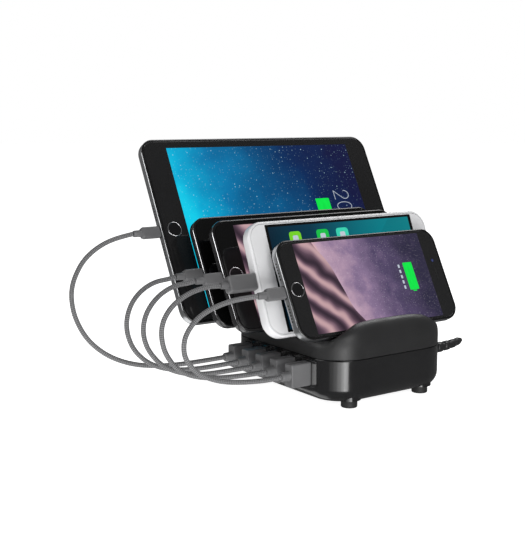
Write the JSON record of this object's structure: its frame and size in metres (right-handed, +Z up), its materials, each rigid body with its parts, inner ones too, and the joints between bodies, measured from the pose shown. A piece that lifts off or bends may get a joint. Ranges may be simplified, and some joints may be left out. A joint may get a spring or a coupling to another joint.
{
  "type": "charging station",
  "caption": "Rounded desktop charging station with leaning bays on its deck, a row of USB ports on one side, docked devices on short braided cables, and a low-voltage supply lead.",
  "frame": {"origin": "on the table, in the middle of the footprint that the base and its docked devices cover together", "axes": "+Z up, +X along the devices, away from the side with the ports, +Y towards the back"},
  "size_m": [0.2801, 0.171, 0.1694],
  "materials": {
    "upper_plastic": "fine matte texture",
    "lower_plastic": "satin",
    "foot_rubber": "matte",
    "steel": "plated",
    "circuit_board": "solder resist",
    "ferrite": "matte",
    "jack_plastic": "matte",
    "silver_metal": "bead blasted",
    "graphite_metal": "polished dark",
    "white_plastic": "satin white",
    "display_glass": "polished, over a lit display",
    "button_glass": "polished, with a metal ring",
    "plug_grey": "anodised grey",
    "cable_braid": "braided sleeve",
    "lead_rubber": "moulded"
  },
  "bodies": {
    "station": {"lower_shell": "lower_plastic", "upper_shell": "upper_plastic", "foot_1": "foot_rubber", "foot_2": "foot_rubber", "foot_3": "foot_rubber", "foot_4": "foot_rubber", "divider_1": "upper_plastic", "divider_2": "upper_plastic", "divider_3": "upper_plastic", "divider_4": "upper_plastic", "case_screw_1": "steel", "case_screw_2": "steel", "case_screw_3": "steel", "case_screw_4": "steel", "main_board": "circuit_board", "power_inductor": "ferrite", "usb_socket_1": "steel", "usb_socket_2": "steel", "usb_socket_3": "steel", "usb_socket_4": "steel", "usb_socket_5": "steel", "dc_jack": "jack_plastic", "usb_plug_1": "plug_grey", "connector_1": "plug_grey", "charge_cable_1": "cable_braid", "usb_plug_2": "plug_grey", "connector_2": "plug_grey", "charge_cable_2": "cable_braid", "usb_plug_3": "plug_grey", "connector_3": "plug_grey", "charge_cable_3": "cable_braid", "usb_plug_4": "plug_grey", "connector_4": "plug_grey", "charge_cable_4": "cable_braid", "usb_plug_5": "plug_grey", "connector_5": "plug_grey", "charge_cable_5": "cable_braid", "dc_plug": "lead_rubber", "dc_lead": "lead_rubber", "dc_lead_coil": "lead_rubber", "dc_lead_tail": "lead_rubber", "wall_adapter": "jack_plastic", "adapter_pins": "steel"},
    "phone_1": {"phone_1_case": "silver_metal", "phone_1_glass": "display_glass"},
    "phone_2": {"phone_2_case": "white_plastic", "phone_2_glass": "display_glass"},
    "phone_3": {"phone_3_case": "graphite_metal", "phone_3_glass": "display_glass"},
    "phone_4": {"phone_4_case": "graphite_metal", "phone_4_glass": "display_glass"},
    "tablet": {"tablet_case": "silver_metal", "tablet_glass": "display_glass"},
    "phone_1_home": {"phone_1_home_button": "button_glass"},
    "phone_3_home": {"phone_3_home_button": "button_glass"},
    "phone_4_home": {"phone_4_home_button": "button_glass"},
    "tablet_home": {"tablet_home_button": "button_glass"},
    "phone_3_side_key": {"phone_3_side_button": "graphite_metal"},
    "phone_4_side_key": {"phone_4_side_button": "graphite_metal"}
  },
  "joints": [
    {"name": "phone_1_undock", "type": "slide", "parent": "station", "child": "phone_1", "axis": [1, 0, 0], "range_m": [0, 0.03]},
    {"name": "phone_2_undock", "type": "slide", "parent": "station", "child": "phone_2", "axis": [1, 0, 0], "range_m": [0, 0.03]},
    {"name": "phone_3_undock", "type": "slide", "parent": "station", "child": "phone_3", "axis": [1, 0, 0], "range_m": [0, 0.03]},
    {"name": "phone_4_undock", "type": "slide", "parent": "station", "child": "phone_4", "axis": [1, 0, 0], "range_m": [0, 0.03]},
    {"name": "tablet_undock", "type": "slide", "parent": "station", "child": "tablet", "axis": [1, 0, 0], "range_m": [0, 0.03]},
    {"name": "phone_1_home_press", "type": "slide", "parent": "phone_1", "child": "phone_1_home", "axis": [0, 0.8854, -0.4648], "range_m": [0, 0.0003], "stiffness_N_per_m": 600, "springref_m": -0.0003},
    {"name": "phone_3_home_press", "type": "slide", "parent": "phone_3", "child": "phone_3_home", "axis": [0, 0.8854, -0.4648], "range_m": [0, 0.0003], "stiffness_N_per_m": 600, "springref_m": -0.0003},
    {"name": "phone_4_home_press", "type": "slide", "parent": "phone_4", "child": "phone_4_home", "axis": [0, 0.8854, -0.4648], "range_m": [0, 0.0003], "stiffness_N_per_m": 600, "springref_m": -0.0003},
    {"name": "tablet_home_press", "type": "slide", "parent": "tablet", "child": "tablet_home", "axis": [0, 0.8854, -0.4648], "range_m": [0, 0.0003], "stiffness_N_per_m": 600, "springref_m": -0.0003},
    {"name": "phone_3_side_key_press", "type": "slide", "parent": "phone_3", "child": "phone_3_side_key", "axis": [0, -0.4648, -0.8854], "range_m": [0, 0.0003], "stiffness_N_per_m": 600, "springref_m": -0.0003},
    {"name": "phone_4_side_key_press", "type": "slide", "parent": "phone_4", "child": "phone_4_side_key", "axis": [0, -0.4648, -0.8854], "range_m": [0, 0.0003], "stiffness_N_per_m": 600, "springref_m": -0.0003}
  ]
}
